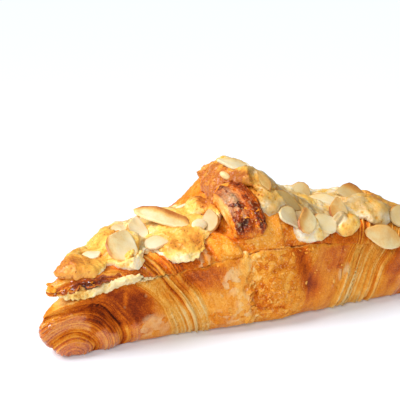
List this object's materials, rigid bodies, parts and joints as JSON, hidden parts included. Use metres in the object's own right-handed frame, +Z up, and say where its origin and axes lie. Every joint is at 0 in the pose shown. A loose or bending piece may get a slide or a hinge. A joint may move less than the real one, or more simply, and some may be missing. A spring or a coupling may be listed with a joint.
{
  "type": "almond croissant",
  "caption": "Almond croissant, split flat and filled, with a raised middle wrap, blunt horns, baked almond cream on top and sliced almonds set in it.",
  "frame": {"origin": "middle of the footprint, on the surface that the croissant lies on", "axes": "+X along its length towards the right horn, +Y to the back, +Z up; the horns bend towards -Y"},
  "size_m": [0.178, 0.0684, 0.0606],
  "materials": {
    "crust": "satin, egg-washed baked crust in golden to dark brown layers",
    "filling": "matt, crumbly baked almond cream",
    "cream": "matt baked almond cream, toasted on its high places",
    "almond": "satin, pale sliced nut with a toasted rim"
  },
  "bodies": {
    "root": {"lower_half": "crust", "upper_half": "crust", "filling": "filling", "cream_topping": "cream", "almond_1": "almond", "almond_2": "almond", "almond_3": "almond", "almond_4": "almond", "almond_5": "almond", "almond_6": "almond", "almond_7": "almond", "almond_8": "almond", "almond_9": "almond", "almond_10": "almond", "almond_11": "almond", "almond_12": "almond", "almond_13": "almond", "almond_14": "almond", "almond_15": "almond", "almond_16": "almond", "almond_17": "almond", "almond_18": "almond", "almond_19": "almond", "almond_20": "almond", "almond_21": "almond", "almond_22": "almond", "almond_23": "almond", "almond_24": "almond", "almond_25": "almond", "almond_26": "almond", "almond_27": "almond", "almond_28": "almond", "almond_29": "almond", "almond_30": "almond"}
  },
  "joints": []
}
